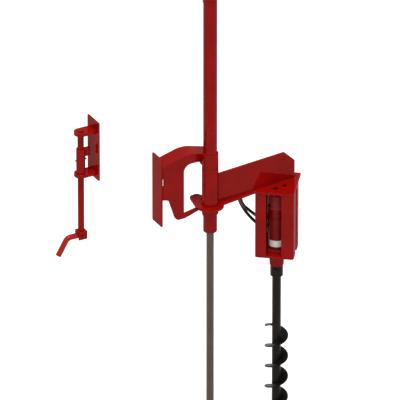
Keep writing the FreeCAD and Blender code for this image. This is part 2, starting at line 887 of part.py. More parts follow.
def hoses():
    """Two hoses from unions in the arm's plate to the motor, with fittings and a pad."""
    gap = size("hose_spacing")
    hose = size("hose_radius")
    thickness = size("hose_bracket_thickness")
    width = size("hose_bracket_width")
    reach = size("hose_bracket_reach")
    middle = size("hose_bracket_side")
    frame = Placement(DRIVE, CAGE_TURN)
    elbow = size("elbow_radius")
    port_x = -size("motor_radius") - elbow - 1
    pad_foot = UNDER_PLATE - thickness
    union_foot = pad_foot - size("fitting_overrun")
    cover_foot = UNDER_PLATE - size("motor_top_gap") - size("end_cover_height")
    ring_foot = cover_foot - size("gear_ring_height")
    pad = box(
        "bracket_block",
        "hose_bracket_width",
        "hose_spacing + hose_bracket_width",
        "hose_bracket_thickness",
        by_axis(reach - width / 2, middle - (gap + width) / 2, pad_foot),
    )
    fittings = []
    holes = []
    rows = (
        ("supply_hose", gap / 2, "supply_port_drop", SUPPLY_ENTRY),
        ("return_hose", -gap / 2, "return_port_drop", RETURN_ENTRY),
    )
    for label, side, port_drop, entry in rows:
        level = ring_foot - size(port_drop)
        place = by_axis(reach, middle + side, union_foot)
        rule = "hose_radius + fitting_wall"
        wider = rule + " + seat_clearance"
        holes.append(cylinder(label + "_hole", wider, "hose_bracket_thickness * 3", place))
        length = "union_height + arm_plate_thickness + hose_bracket_thickness + fitting_overrun"
        barrel = cylinder(label + "_union", rule, length, place)
        seat = by_axis(reach, middle + side, 0)
        nut = hexagon(label + "_nut", size("union_radius"), "union_height / 2", seat)
        fittings.append(fuse(label + "_top", barrel, nut))
        start = place.Base
        below = by_axis(reach, middle + side, union_foot - size("hose_drop")).Base
        port = frame.multVec(Vector(port_x, 0, level))
        bent = frame.multVec(Vector(-size("cage_width") / 2, 0, level) + entry)
        along = port - bent
        along.normalize()
        ferrule = size("ferrule_length")
        points = [start, below, bent, port - along * ferrule]
        radii = []
        for corner, (first_share, second_share) in ((1, (0.9, 0.45)), (2, (0.45, 0.9))):
            before = points[corner - 1] - points[corner]
            after = points[corner + 1] - points[corner]
            half = before.getAngle(after) / 2
            tangent = min(first_share * before.Length, second_share * after.Length)
            radii.append(tangent * math.tan(half))
        path = route(points, radii)
        finish(shaped(label + "_line", swept(path, hose)), label)
        print(label, "length", round(path.Length, 1), "radii", [round(radius) for radius in radii])
        print(label, "points", [[round(value / 1000, 5) for value in point] for point in points])
        crimp = Part.makeCylinder(hose + size("fitting_wall"), ferrule, points[-1], along)
        inwards = frame.Rotation.multVec(Vector(1, 0, 0))
        boss = Part.makeCylinder(elbow, elbow + 1, port, inwards)
        knob = Part.makeSphere(elbow, port)
        around = frame.multVec(Vector(0, 0, level - elbow * 3))
        drum = Part.makeCylinder(size("motor_radius") + size("seat_clearance"), elbow * 6, around)
        bend_piece = crimp.fuse([boss, knob]).cut(drum).removeSplitter()
        fittings.append(shaped(label + "_elbow", bend_piece))
    finish(group("fittings", *fittings), "hose_fittings")
    finish(cut("bracket", pad, *holes), "hose_bracket")


def spindle():
    """Hub below the cage, its bearings, the motor's shaft and the coupling to the auger."""
    top = CAGE_BOTTOM
    foot = top - size("hub_height")
    shell = cone("hub_cone", "hub_bottom_radius", "hub_top_radius", "hub_height", by_drive(0, 0, foot))
    rule = "bearing_outer_radius + seat_clearance"
    room = cylinder("hub_room", rule, "hub_height", by_drive(0, 0, foot))
    finish(cut("hub", shell, room), "spindle_hub")
    rings = []
    inset = size("bearing_inset")
    for number, level in enumerate((foot + inset, top - size("bearing_height") - inset)):
        ring = tube(
            "bearing%d" % number,
            "bearing_outer_radius",
            "motor_shaft_radius + running_clearance",
            "bearing_height",
            by_drive(0, 0, level),
        )
        rings.append(ring)
    finish(group("bearings", *rings), "spindle_bearings")
    floor = top + size("bottom_plate_thickness") + size("motor_flange_thickness")
    insert = size("shaft_in_coupling")
    height = floor + size("shaft_in_motor") - foot + insert
    drive = cylinder("drive_shaft", "motor_shaft_radius", str(height), by_drive(0, 0, foot - insert))
    drum_foot = foot - size("coupling_gap") - size("coupling_height")
    taper = size("coupling_taper")
    body = fuse(
        "coupling",
        cylinder(
            "coupling_drum",
            "coupling_radius",
            "coupling_height - coupling_taper",
            by_drive(0, 0, drum_foot + taper),
        ),
        cone(
            "coupling_cone",
            "shaft_radius + coupling_lip",
            "coupling_radius",
            "coupling_taper",
            by_drive(0, 0, drum_foot),
        ),
    )
    bore = cylinder(
        "coupling_bore",
        "motor_shaft_radius + seat_clearance",
        "coupling_height",
        by_drive(0, 0, drum_foot),
    )
    radius = size("coupling_radius")
    level = foot - size("coupling_bolt_drop")
    holes = []
    for name in ("coupling_cross", "shaft_cross"):
        across = by_drive(0, radius * 1.5, level, UPRIGHT)
        holes.append(cylinder(name, "bolt_radius + seat_clearance", "coupling_radius * 3", across))
    finish(cut("drive_drilled", drive, holes[1]), "motor_shaft")
    finish(cut("coupling_bored", body, bore, holes[0]), "drive_coupling")
    side = radius + size("side_clearance")
    pair = bolt_and_nut("cross_bolt", 2 * side, by_drive(0, -side, level, UPRIGHT))
    finish(group("cross_bolt", *pair), "coupling_bolt")
    return drum_foot


def auger(top):
    """Shaft, right-hand flight, cutter teeth and point below the coupling."""
    length = size("shaft_length")
    foot = top - length
    shaft = cylinder("auger_tube", "shaft_radius", "shaft_length", by_drive(0, 0, foot))
    finish(shaft, "auger_shaft")

    pitch = size("flight_pitch")
    turns = (length - size("flight_start") - size("flight_tail")) / pitch
    inner = size("shaft_radius") + size("seat_clearance")
    outer = size("flight_radius")
    thick = size("flight_thickness")
    lower = foot + size("flight_tail")
    spine = Part.makeHelix(pitch, pitch * turns, inner)
    corners = [
        Vector(inner, 0, -thick / 2),
        Vector(outer, 0, -thick / 3),
        Vector(outer, 0, thick / 3),
        Vector(inner, 0, thick / 2),
    ]
    section = Part.makePolygon(corners + corners[:1])
    blade = Part.Wire(spine.Edges).makePipeShell([section], True, True)
    flight = shaped("flight_blade", blade)
    spin = size("flight_top_angle") - 360 * turns - size("cage_turn")
    finish(flight, "auger_flight", by_drive(0, 0, lower, Rotation(Vector(0, 0, 1), spin)))

    head = size("tooth_length") + size("point_collar_rise")
    collar = cylinder("point_collar", "shaft_radius", str(head), by_drive(0, 0, foot - head))
    tip_foot = foot - head - size("point_length")
    place = by_drive(0, 0, tip_foot)
    tip = cone("point_tip", "point_tip_radius", "shaft_radius", "point_length", place)
    finish(fuse("point", collar, tip), "pilot_point")

    teeth = []
    for number in range(2):
        rake = Rotation(Vector(1, 0, 0), size("tooth_rake"))
        turn = Rotation(Vector(0, 0, 1), 180 * number).multiply(rake)
        near = size("shaft_radius") + size("seat_clearance")
        start = turn.multVec(Vector(near, -size("tooth_thickness") / 2, -size("tooth_length")))
        blade = box(
            "tooth%d" % number,
            "flight_radius - shaft_radius",
            "tooth_thickness",
            "tooth_length",
            by_drive(start.x, start.y, foot - size("tooth_drop") + start.z, turn),
        )
        teeth.append(blade)
    finish(group("teeth", *teeth), "cutter_teeth")


def latch():
    """Separate latch: plate, lugs, turning rod with its finger, and the cranked handle."""
    gap = -size("latch_gap")
    plate_x = gap - size("latch_plate_thickness")
    rise = size("latch_rise")
    low = rise - size("latch_plate_height") / 2
    bar = box(
        "latch_bar",
        "latch_plate_thickness",
        "latch_plate_width",
        "latch_plate_height",
        at(plate_x, -size("latch_plate_width") / 2, low),
    )
    finish(bar, "latch_plate")
    axis_x = plate_x - size("latch_standoff")
    radius = size("latch_lug_radius")
    high = rise + size("latch_plate_height") / 2
    upper = high - size("upper_lug_drop") - size("latch_lug_thickness")
    lower = low + size("lower_lug_rise")
    hole = size("latch_rod_radius") + size("running_clearance")
    lugs = []
    for number, level in enumerate((upper, lower)):
        stand = size("latch_standoff")
        corners = [
            (stand, -radius, 0),
            (stand, radius, 0),
            (-radius, radius, radius * 0.98),
            (-radius, -radius, radius * 0.98),
        ]
        place = at(axis_x, 0, level)
        lug = plate("lug%d" % number, corners, "latch_lug_thickness", place, [(0, 0, hole)])
        lugs.append(lug)
    finish(group("lugs", *lugs), "latch_lugs")

    top = upper + size("latch_lug_thickness") + size("latch_rod_proud")
    foot = lower - size("latch_rod_drop")
    rod = cylinder("latch_bar_rod", "latch_rod_radius", str(top - foot), at(axis_x, 0, foot))
    pin_level = lower + size("latch_pin_rise")
    margin = size("cut_margin")
    pin_hole = cylinder(
        "pin_hole",
        "latch_pin_radius + seat_clearance",
        "latch_rod_radius * 2 + cut_margin * 2",
        at(axis_x - size("latch_rod_radius") - margin, 0, pin_level, ALONG_X),
    )
    finish(cut("rod_drilled", rod, pin_hole), "latch_rod")

    sleeve_foot = lower + size("latch_lug_thickness") + size("side_clearance")
    seat = at(axis_x, 0, sleeve_foot)
    collar = cylinder("collar", "latch_sleeve_radius", "latch_sleeve_height", seat)
    finger = box(
        "finger",
        "latch_finger_length + latch_finger_root",
        "latch_finger_thickness",
        "latch_finger_height",
        at(
            axis_x + size("latch_sleeve_radius") - size("latch_finger_root"),
            -size("latch_finger_thickness") / 2,
            sleeve_foot + size("latch_sleeve_height") - size("latch_finger_height"),
        ),
    )
    rule = "latch_rod_radius + seat_clearance"
    bore = cylinder("collar_bore", rule, "latch_sleeve_height", seat)
    collar_pin = cylinder(
        "collar_pin_hole",
        "latch_pin_radius + seat_clearance",
        "latch_pin_length",
        at(axis_x - size("latch_pin_length") / 2, 0, pin_level, ALONG_X),
    )
    finish(cut("collar", fuse("collar", collar, finger), bore, collar_pin), "latch_sleeve")
    across = at(axis_x - size("latch_pin_length") / 2, 0, pin_level, ALONG_X)
    pin = cylinder("cross_pin", "latch_pin_radius", "latch_pin_length", across)
    finish(pin, "latch_cross_pin")

    handle(axis_x, foot)


def handle(axis_x, foot):
    """Clevis at the latch rod's foot, the cranked handle in it and the bolt through both."""
    width = size("clevis_width")
    height = size("clevis_height")
    radius = size("handle_radius")
    low = foot - height
    roof = size("clevis_roof")
    slot_width = 2 * radius + 2 * size("clevis_slot_clearance")
    level = foot - roof - (height - roof) / 2 + size("handle_rise")
    near = at(axis_x - width / 2, -width / 2, low)
    block = box("clevis_block", "clevis_width", "clevis_width", "clevis_height", near)
    slot_place = at(axis_x - width / 2, -slot_width / 2, low)
    rule = "clevis_height - clevis_roof"
    slot = box("clevis_slot", "clevis_width", str(slot_width), rule, slot_place)
    across = at(axis_x, -width / 2, level, ALONG_Y)
    holes = []
    for name in ("clevis_hole", "handle_hole"):
        holes.append(cylinder(name, "bolt_radius + seat_clearance", "clevis_width", across))
    finish(cut("clevis", block, slot, holes[0]), "latch_clevis")

    drop = math.radians(size("handle_drop_angle"))
    reach = size("handle_first")
    grip = size("handle_grip")
    points = [
        Vector(axis_x + width / 2 - size("handle_end_inset"), 0, level),
        Vector(axis_x - reach, 0, level),
        Vector(axis_x - reach - grip * math.cos(drop), 0, level - grip * math.sin(drop)),
    ]
    line = route(points, [size("handle_bend_radius")])
    bar = shaped("handle_bar", swept(line, radius))
    finish(cut("handle", bar, holes[1]), "latch_handle")
    pair = bolt_and_nut("clevis_bolt", width, at(axis_x, -width / 2, level, UPRIGHT))
    finish(group("clevis_bolt", *pair), "handle_bolt")


def main():
    """Build every sub-part, check it and write it."""
    mast_plate()
    yoke()
    knuckles()
    feed_cylinder()
    feed_rod()
    swing_sleeve()
    swing_arm()
    motor_cage()
    motor()
    hoses()
    auger(spindle())
    latch()
    doc.recompute()

    faults = [obj.Label for obj in doc.Objects if "Invalid" in obj.State or "Error" in obj.State]
    for part in PARTS:
        if part.Shape.isNull() or not part.Shape.isValid() or not part.Shape.Solids:
            faults.append(part.Label + " has no valid solid")
    if faults:
        raise RuntimeError("faulty objects: " + ", ".join(faults))
    for part in PARTS:
        part.Shape.exportStep("parts/%s.step" % part.Label)
        print(part.Label, len(part.Shape.Solids), round(part.Shape.Volume), part.Shape.BoundBox)


main()
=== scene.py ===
"""Pilot auger, dressed: finishes, rounded edges, welds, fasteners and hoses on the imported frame."""

import logging
import math
from dataclasses import dataclass, field, replace
from enum import Enum

import bmesh
import bpy
from mathutils import Matrix, Vector


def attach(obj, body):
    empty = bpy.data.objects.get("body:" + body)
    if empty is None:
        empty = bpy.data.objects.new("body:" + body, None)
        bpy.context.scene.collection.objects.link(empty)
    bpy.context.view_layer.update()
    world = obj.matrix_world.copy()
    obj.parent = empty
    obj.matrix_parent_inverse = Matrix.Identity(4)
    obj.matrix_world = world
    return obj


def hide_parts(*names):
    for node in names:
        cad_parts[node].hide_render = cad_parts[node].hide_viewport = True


LOG = logging.getLogger("pilot_auger")
MM = 0.001
MM_PER_METRE = 1000
WEAR_KEY = "edge_wear"
# Widths of the roundings, in millimetres.
WASHER_EDGE = 0.3
FINE_EDGE = 0.8
PLATE_EDGE = 1.2
TURNED_EDGE = 1.5

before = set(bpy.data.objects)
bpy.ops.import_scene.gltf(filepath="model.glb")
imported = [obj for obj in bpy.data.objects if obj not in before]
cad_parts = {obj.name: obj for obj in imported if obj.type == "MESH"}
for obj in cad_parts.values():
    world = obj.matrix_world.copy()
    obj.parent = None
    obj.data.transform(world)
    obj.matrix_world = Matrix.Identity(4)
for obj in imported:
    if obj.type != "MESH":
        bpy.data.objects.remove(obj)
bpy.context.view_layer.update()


class Body(Enum):
    """Bodies of the frame that pieces ride on."""

    FRAME = "frame"
    ROD = "rod"
    ARM = "arm"
    AUGER = "auger"
    LATCH = "latch"


class Slot(Enum):
    """Material slots of the record."""

    RED = "red_paint"
    DARK = "dark_steel"
    ROD = "rod_steel"
    HOSE = "hose"
    BOLT = "bolt_steel"
    MOTOR = "motor_red"


# Shader helpers


def linear(colour: str) -> tuple[float, float, float, float]:
    """Turn an sRGB hex colour into a linear one.

    Args:
        colour: six hex digits after a hash sign.

    Returns:
        Linear red, green, blue and an alpha of one.
    """
    values = []
    for start in (1, 3, 5):
        share = int(colour[start : start + 2], 16) / 255
        values.append(share / 12.92 if share <= 0.04045 else ((share + 0.055) / 1.055) ** 2.4)
    return (values[0], values[1], values[2], 1.0)


def add_node(
    tree: bpy.types.NodeTree, kind: str, settings: dict | None = None, links: dict | None = None
) -> bpy.types.Node:
    """Add one node with its settings and links.

    Args:
        tree: node tree of the material or world.
        kind: Blender's name of the node type.
        settings: attribute names or input names and numbers, with their values.
        links: input names or numbers, with the output sockets that feed them.

    Returns:
        The new node.
    """
    node = tree.nodes.new(kind)
    for key, value in (settings or {}).items():
        if isinstance(key, str) and hasattr(node, key):
            setattr(node, key, value)
        else:
            node.inputs[key].default_value = value
    for key, socket in (links or {}).items():
        tree.links.new(socket, node.inputs[key])
    return node


@dataclass(frozen=True)
class Finish:
    """One finish: colours, gloss and the grain that breaks it up.

    Sizes that end in mm are real sizes on the part. The stretch is a factor along each axis.
    """

    name: str
    colour: str
    shade: str
    roughness: float
    metallic: float = 0.0
    specular: float = 0.5
    coat: float = 0.0
    coat_roughness: float = 0.1
    patch_mm: float = 90.0
    grain_mm: float = 3.0
    stretch: tuple[float, float, float] = (1.0, 1.0, 1.0)
    grain_height_mm: float = 0.02
    roughness_spread: float = 0.08
    edge_colour: str | None = None
    edge_amount: float = 0.0
    chip_mm: float = 14.0

    def material(self) -> bpy.types.Material:
        """Return the finish's material, made on first use."""
        found = bpy.data.materials.get(self.name)
        if found is not None:
            return found
        made = bpy.data.materials.new(self.name)
        made.use_nodes = True
        made.node_tree.nodes.clear()
        self.fill(made.node_tree)
        made.diffuse_color = linear(self.colour)
        return made

    def fill(self, tree: bpy.types.NodeTree) -> None:
        """Build the finish's nodes in a tree.

        Args:
            tree: empty node tree of the material.
        """
        place = add_node(tree, "ShaderNodeTexCoord").outputs["Object"]
        patches = add_node(
            tree,
            "ShaderNodeTexNoise",
            {"Scale": MM_PER_METRE / self.patch_mm, "Detail": 4.0, "Roughness": 0.6},
            {"Vector": place},
        )
        spread = add_node(
            tree,
            "ShaderNodeMapRange",
            {"From Min": 0.3, "From Max": 0.7},
            {"Value": patches.outputs["Fac"]},
        )
        base = add_node(
            tree,
            "ShaderNodeMix",
            {"data_type": "RGBA", 6: linear(self.shade), 7: linear(self.colour)},
            {0: spread.outputs["Result"]},
        ).outputs[2]
        if self.edge_colour is not None:
            base = self.worn_edges(tree, base, place)
        stretched = add_node(
            tree, "ShaderNodeMapping", {"Scale": self.stretch}, {"Vector": place}
        ).outputs["Vector"]
        grain = add_node(
            tree,
            "ShaderNodeTexNoise",
            {"Scale": MM_PER_METRE / self.grain_mm, "Detail": 2.0, "Roughness": 0.5},
            {"Vector": stretched},
        ).outputs["Fac"]
        gloss = add_node(
            tree,
            "ShaderNodeMapRange",
            {
                "To Min": self.roughness - self.roughness_spread,
                "To Max": self.roughness + self.roughness_spread,
            },
            {"Value": patches.outputs["Fac"]},
        )
        bump = add_node(
            tree,
            "ShaderNodeBump",
            {"Strength": 1.0, "Distance": self.grain_height_mm * MM},
            {"Height": grain},
        )
        shader = add_node(
            tree,
            "ShaderNodeBsdfPrincipled",
            {
                "Metallic": self.metallic,
                "Specular IOR Level": self.specular,
                "Coat Weight": self.coat,
                "Coat Roughness": self.coat_roughness,
            },
            {
                "Base Color": base,
                "Roughness": gloss.outputs["Result"],
                "Normal": bump.outputs["Normal"],
            },
        )
        add_node(tree, "ShaderNodeOutputMaterial", None, {"Surface": shader.outputs["BSDF"]})

    def worn_edges(
        self, tree: bpy.types.NodeTree, base: bpy.types.NodeSocket, place: bpy.types.NodeSocket
    ) -> bpy.types.NodeSocket:
        """Mix the edge colour in where a piece's rounded edges carry the wear attribute.

        Args:
            tree: node tree of the material.
            base: colour socket to mix into.
            place: object coordinates.

        Returns:
            The mixed colour socket.
        """
        edge = add_node(tree, "ShaderNodeAttribute", {"attribute_name": WEAR_KEY})
        chips = add_node(
            tree,
            "ShaderNodeTexNoise",
            {"Scale": MM_PER_METRE / self.chip_mm, "Detail": 3.0},
            {"Vector": place},
        )
        rubbed = add_node(
            tree,
            "ShaderNodeMapRange",
            {"From Min": 0.42, "From Max": 0.6, "To Max": self.edge_amount},
            {"Value": chips.outputs["Fac"]},
        )
        share = add_node(
            tree,
            "ShaderNodeMath",
            {"operation": "MULTIPLY"},
            {0: edge.outputs["Fac"], 1: rubbed.outputs["Result"]},
        )
        return add_node(
            tree,
            "ShaderNodeMix",
            {"data_type": "RGBA", 7: linear(self.edge_colour)},
            {0: share.outputs[0], 6: base},
        ).outputs[2]


# Enamel sprayed on welded steel, with a thin clear skin and a faint orange peel.
# The peel of about 2 mm is drawn at 5 mm so that it shows at the render's size.
ENAMEL = Finish(
    "gloss_enamel_on_steel",
    "#A80D08",
    "#950905",
    0.3,
    specular=0.0,
    coat=0.16,
    coat_roughness=0.06,
    grain_mm=5.0,
    grain_height_mm=0.03,
    edge_colour="#C42A20",
    edge_amount=0.5,
)
# The latch's handle gets a brighter red than the plates as a painted highlight, and a little glossier
# coat.
HIGHLIT_HANDLE_ENAMEL = replace(
    ENAMEL,
    name="highlit_handle_enamel",
    colour="#C01A12",
    shade="#A8120C",
    coat=0.4,
    coat_roughness=0.05,
)
# Duller, pinker enamel on the cast motor: a coarser skin over sand-cast iron.
# Its colour is also lightened as painted light on the end cover, which lies in the top plate's shade.
LIT_MOTOR_ENAMEL = Finish(
    "dull_enamel_on_cast_iron",
    "#B0363A",
    "#9A2B2F",
    0.36,
    specular=0.02,
    coat=0.1,
    coat_roughness=0.2,
    patch_mm=40.0,
    grain_mm=4.0,
    grain_height_mm=0.08,
    edge_colour="#B04A4A",
    edge_amount=0.4,
)
# The housing and flange get a darker copy of the cover's enamel, as painted shade for the cage's shade
# on them.
SHADED_HOUSING_ENAMEL = replace(
    LIT_MOTOR_ENAMEL,
    name="shaded_enamel_on_cast_iron",
    colour="#921B19",
    shade="#7E1513",
    edge_colour="#9A2C28",
)
# The gear ring keeps the enamel's red, darkened as painted shade for the cage's shade on it.
SHADED_RING_ENAMEL = replace(
    ENAMEL, name="shaded_gloss_enamel", colour="#940E0A", shade="#820906", edge_colour="#A02018"
)
# Ground and oiled bar: lengthwise draw lines, a dull grey-brown film of oil.
ROD = Finish(
    "oiled_ground_steel",
    "#564A40",
    "#493F37",
    0.42,
    metallic=0.75,
    patch_mm=120.0,
    grain_mm=1.5,
    stretch=(1.0, 1.0, 0.03),
    grain_height_mm=0.015,
)
# Hot-rolled auger steel left with its mill scale: nearly black, brown in the thin places.
SCALE = Finish(
    "mill_scale_steel",
    "#2C2621",
    "#1E1A17",
    0.38,
    metallic=0.2,
    specular=0.06,
    patch_mm=45.0,
    grain_mm=3.0,
    grain_height_mm=0.06,
    roughness_spread=0.12,
    edge_colour="#5A524A",
    edge_amount=0.6,
)
# The flight's scale is darker than the shaft's, as painted shade that offsets the light on its upward
# faces.
SHADED_FLIGHT_SCALE = replace(SCALE, name="shaded_mill_scale", colour="#1A1714", shade="#110F0D")
# Blackened fasteners with an oily film.
BLACKED = Finish(
    "blackened_steel_fasteners",
    "#30211E",
    "#221A18",
    0.38,
    metallic=0.4,
    specular=0.1,
    patch_mm=18.0,
    grain_mm=1.0,
    edge_colour="#6E625C",
    edge_amount=0.6,
)
# Cast bronze bushing stock, turned and dark with old oil.
BRONZE = Finish("oiled_bronze", "#5C3E1E", "#463018", 0.4, metallic=1.0, patch_mm=30.0)
# Nitrile rubber: black and nearly matt.
RUBBER = Finish("nitrile_rubber", "#171819", "#101112", 0.6, patch_mm=25.0)
# Hose cover: smooth rubber with the faint print of its wrapping cloth, drawn at 2 mm.
HOSE = Finish(
    "wrapped_hose_cover",
    "#1D2423",
    "#151A19",
    0.4,
    specular=0.2,
    patch_mm=60.0,
    grain_mm=2.0,
    grain_height_mm=0.12,
)
# Crimped and plated hose ends, dulled to a dark grey.
PLATED = Finish(
    "dull_plated_hose_ends", "#2A2826", "#1F1E1C", 0.5, metallic=0.1, specular=0.05, patch_mm=20.0
)
# Top bolts painted over with the arm: the enamel lies dark and thin on oily black steel.
PAINTED_BOLT = Finish(
    "enamel_over_black_bolts",
    "#6A0D0B",
    "#4A0A08",
    0.36,
    specular=0.0,
    coat=0.1,
    patch_mm=14.0,
    grain_mm=2.0,
    edge_colour="#8E2018",
    edge_amount=0.5,
)
# Bare enamelled tag: plain white, slightly eggshell.
TAG = Finish(
    "white_enamelled_tag", "#F8F8F4", "#F0F0EB", 0.4, patch_mm=25.0, grain_mm=1.5
)
# Painted weld: the same enamel over ripples, in a slightly darker red.
WELD = Finish(
    "enamel_over_weld",
    "#9C100B",
    "#820B07",
    0.34,
    specular=0.0,
    coat=0.1,
    coat_roughness=0.12,
    patch_mm=12.0,
    grain_mm=2.0,
    grain_height_mm=0.06,
)


# Mesh helpers

# Vertices of a CAD mesh closer than this are one, and faces flatter than this are joined.
MERGE_MM = 0.002
FLAT_ANGLE = math.radians(0.4)
# Edges sharper than this are rounded.
SHARP_ANGLE = math.radians(32)
# A weld bead: sides of its section, length of a ripple and how much a ripple swells.
BEAD_SIDES = 8
RIPPLE_MM = 4.0
LINE_SWELL = 1.16
RING_SWELL = 0.09


def new_object(name: str, bm: bmesh.types.BMesh) -> bpy.types.Object:
    """Turn a bmesh into a linked object at the origin.

    Args:
        name: name of the piece.
        bm: its mesh in the frame's metres; freed here.

    Returns:
        The new object.
    """
    mesh = bpy.data.meshes.new(name)
    bm.to_mesh(mesh)
    bm.free()
    made = bpy.data.objects.new(name, mesh)
    bpy.context.scene.collection.objects.link(made)
    return made


def dress(
    piece: bpy.types.Object, body: Body, slot: Slot, finish: Finish, *replaced: str
) -> bpy.types.Object:
    """Give a piece its finish and body, and let it stand for CAD nodes.

    Args:
        piece: finished object.
        body: body that it rides on.
        slot: material slot of the record; not used.
        finish: what it is made of.
        replaced: CAD nodes that it stands for.

    Returns:
        The same object.
    """
    piece.data.materials.clear()
    piece.data.materials.append(finish.material())
    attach(piece, body.value)
    if replaced:
        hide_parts(*replaced)
    LOG.info("piece %s rides on %s", piece.name, body.value)
    return piece


def shade(bm: bmesh.types.BMesh, degrees: float = 32.0) -> None:
    """Shade faces smooth and keep edges sharper than an angle hard.

    Args:
        bm: mesh to shade.
        degrees: angle between faces above which their edge stays hard.
    """
    limit = math.radians(degrees)
    for face in bm.faces:
        face.smooth = True
    for edge in bm.edges:
        edge.smooth = len(edge.link_faces) == 2 and edge.calc_face_angle(0.0) < limit


def bevel(
    bm: bmesh.types.BMesh, edges: list[bmesh.types.BMEdge], width_mm: float, segments: int
) -> list[bmesh.types.BMFace]:
    """Round edges of a mesh.

    Args:
        bm: mesh to round.
        edges: edges to round.
        width_mm: width of the rounding.
        segments: faces across each rounding.

    Returns:
        The new faces.
    """
    made = bmesh.ops.bevel(
        bm,
        geom=edges,
        offset=width_mm * MM,
        offset_type="OFFSET",
        segments=segments,
        profile=0.5,
        affect="EDGES",
        material=-1,
        clamp_overlap=True,
    )
    return made["faces"]


def corners(bm: bmesh.types.BMesh, degrees: float = 57.3) -> list[bmesh.types.BMEdge]:
    """Return the edges whose faces meet at more than an angle.

    Args:
        bm: mesh to look through.
        degrees: least angle between the faces.

    Returns:
        The edges.
    """
    return [edge for edge in bm.edges if edge.calc_face_angle(0.0) > math.radians(degrees)]


def softened(
    node: str, width_mm: float, body: Body, slot: Slot, finish: Finish, segments: int = 2
) -> bpy.types.Object:
    """Copy a CAD node, round its sharp edges and let the copy stand for it.

    Args:
        node: CAD node's name.
        width_mm: width of the rounding.
        body: body that the node belongs to.
        slot: material slot of the record.
        finish: what it is made of.
        segments: faces across each rounding.

    Returns:
        The rounded piece.
    """
    bm = bmesh.new()
    bm.from_mesh(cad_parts[node].data)
    bmesh.ops.remove_doubles(bm, verts=bm.verts, dist=MERGE_MM * MM)
    bmesh.ops.dissolve_limit(
        bm, angle_limit=FLAT_ANGLE, verts=bm.verts, edges=bm.edges, delimit=set()
    )
    wear = bm.faces.layers.float.new(WEAR_KEY)
    sharp = [
        edge
        for edge in bm.edges
        if len(edge.link_faces) == 2
        and edge.calc_face_angle(0.0) > SHARP_ANGLE
        and edge.is_manifold
    ]
    for face in bevel(bm, sharp, width_mm, segments):
        face[wear] = 1.0
    shade(bm, 50.0)
    piece = new_object(node + "_rounded", bm)
    weighted = piece.modifiers.new("even_normals", "WEIGHTED_NORMAL")
    weighted.weight = 100
    weighted.keep_sharp = True
    return dress(piece, body, slot, finish, node)


def paint_nodes(finish: Finish, *nodes: str) -> None:
    """Give CAD nodes that keep their own mesh a finish.

    Args:
        finish: what they are made of.
        nodes: CAD nodes' names.
    """
    for name in nodes:
        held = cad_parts[name]
        held.data.materials.clear()
        held.data.materials.append(finish.material())
        LOG.info("node %s keeps its mesh", name)


def weld_line(
    name: str, start: Vector, end: Vector, body: Body, radius_mm: float = 3.0
) -> bpy.types.Object:
    """Lay a straight rippled weld bead, half sunk in the corner that it fills.

    Args:
        name: name of the piece.
        start: first end of the corner line, in millimetres.
        end: second end of the corner line, in millimetres.
        body: body that it rides on.
        radius_mm: radius of the bead.

    Returns:
        The bead.
    """
    run = (end - start) * MM
    steps = max(2, round(run.length / (RIPPLE_MM * MM)))
    bm = bmesh.new()
    bmesh.ops.create_circle(bm, segments=BEAD_SIDES, radius=radius_mm * MM)
    open_end = list(bm.edges)
    for number in range(1, steps + 1):
        out = bmesh.ops.extrude_edge_only(bm, edges=open_end)["geom"]
        rim = [item for item in out if isinstance(item, bmesh.types.BMVert)]
        bmesh.ops.translate(bm, verts=rim, vec=(0, 0, run.length / steps))
        open_end = [item for item in out if isinstance(item, bmesh.types.BMEdge)]
        grow = (LINE_SWELL, 1 / LINE_SWELL)[number % 2]
        middle = Matrix.Translation((0, 0, -number * run.length / steps))
        bmesh.ops.scale(bm, verts=rim, vec=(grow, grow, 1.0), space=middle)
    bmesh.ops.holes_fill(bm, edges=[edge for edge in bm.edges if edge.is_boundary], sides=0)
    turn = Vector((0, 0, 1)).rotation_difference(run.normalized()).to_matrix().to_4x4()
    bmesh.ops.transform(bm, matrix=Matrix.Translation(start * MM) @ turn, verts=bm.verts)
    bmesh.ops.recalc_face_normals(bm, faces=bm.faces)
    shade(bm, 60.0)
    return dress(new_object(name, bm), body, Slot.RED, WELD)


def weld_ring(
    name: str, centre: Vector, ring_mm: float, body: Body, radius_mm: float = 3.0
) -> bpy.types.Object:
    """Lay a rippled weld bead round an upright tube.

    Args:
        name: name of the piece.
        centre: centre of the ring, in millimetres.
        ring_mm: radius of the tube.
        body: body that it rides on.
        radius_mm: radius of the bead.

    Returns:
        The bead.
    """
    steps = max(24, round(math.tau * ring_mm / RIPPLE_MM / 2) * 2)
    bm = bmesh.new()
    bmesh.ops.create_circle(bm, segments=BEAD_SIDES, radius=radius_mm * MM)
    bmesh.ops.rotate(bm, verts=bm.verts, matrix=Matrix.Rotation(math.pi / 2, 3, "X"))
    bmesh.ops.translate(bm, verts=bm.verts, vec=(ring_mm * MM, 0, 0))
    bmesh.ops.spin(
        bm,
        geom=bm.verts[:] + bm.edges[:],
        cent=(0, 0, 0),
        axis=(0, 0, 1),
        angle=math.tau,
        steps=steps,
        use_merge=True,
    )
    for vert in bm.verts:
        turn = math.atan2(vert.co.y, vert.co.x)
        along = Vector((math.cos(turn), math.sin(turn), 0)) * ring_mm * MM
        share = 1 + RING_SWELL * math.cos(turn * steps / 2)
        vert.co = along + (vert.co - along) * share
    bmesh.ops.translate(bm, verts=bm.verts, vec=centre * MM)
    bmesh.ops.recalc_face_normals(bm, faces=bm.faces)
    shade(bm, 60.0)
    return dress(new_object(name, bm), body, Slot.RED, WELD)


